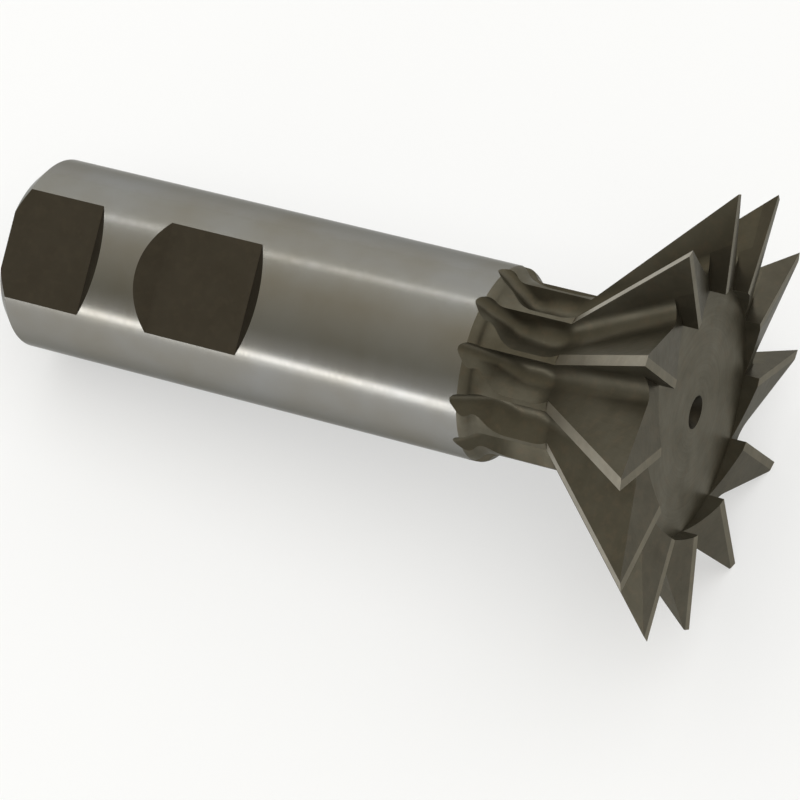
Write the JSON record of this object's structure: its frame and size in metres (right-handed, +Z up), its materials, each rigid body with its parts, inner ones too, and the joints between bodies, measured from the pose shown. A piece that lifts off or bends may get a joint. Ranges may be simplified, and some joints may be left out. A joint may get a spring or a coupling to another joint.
{
  "type": "dovetail cutter",
  "caption": "One-piece dovetail milling cutter: a flaring head of straight teeth on a short neck, with a plain round shank and clamping flats ground into its side.",
  "frame": {"origin": "middle of the footprint, on the surface the cutter lies on", "axes": "+X from the shank's rear end towards the toothed head, which is held up 9.2 degrees by its teeth; +Y across the shank; +Z up"},
  "size_m": [0.1012, 0.056, 0.0552],
  "materials": {
    "steel": "bright ground shank, oxide-dark head and flats"
  },
  "bodies": {
    "root": {"dovetail_cutter": "steel"}
  },
  "joints": []
}
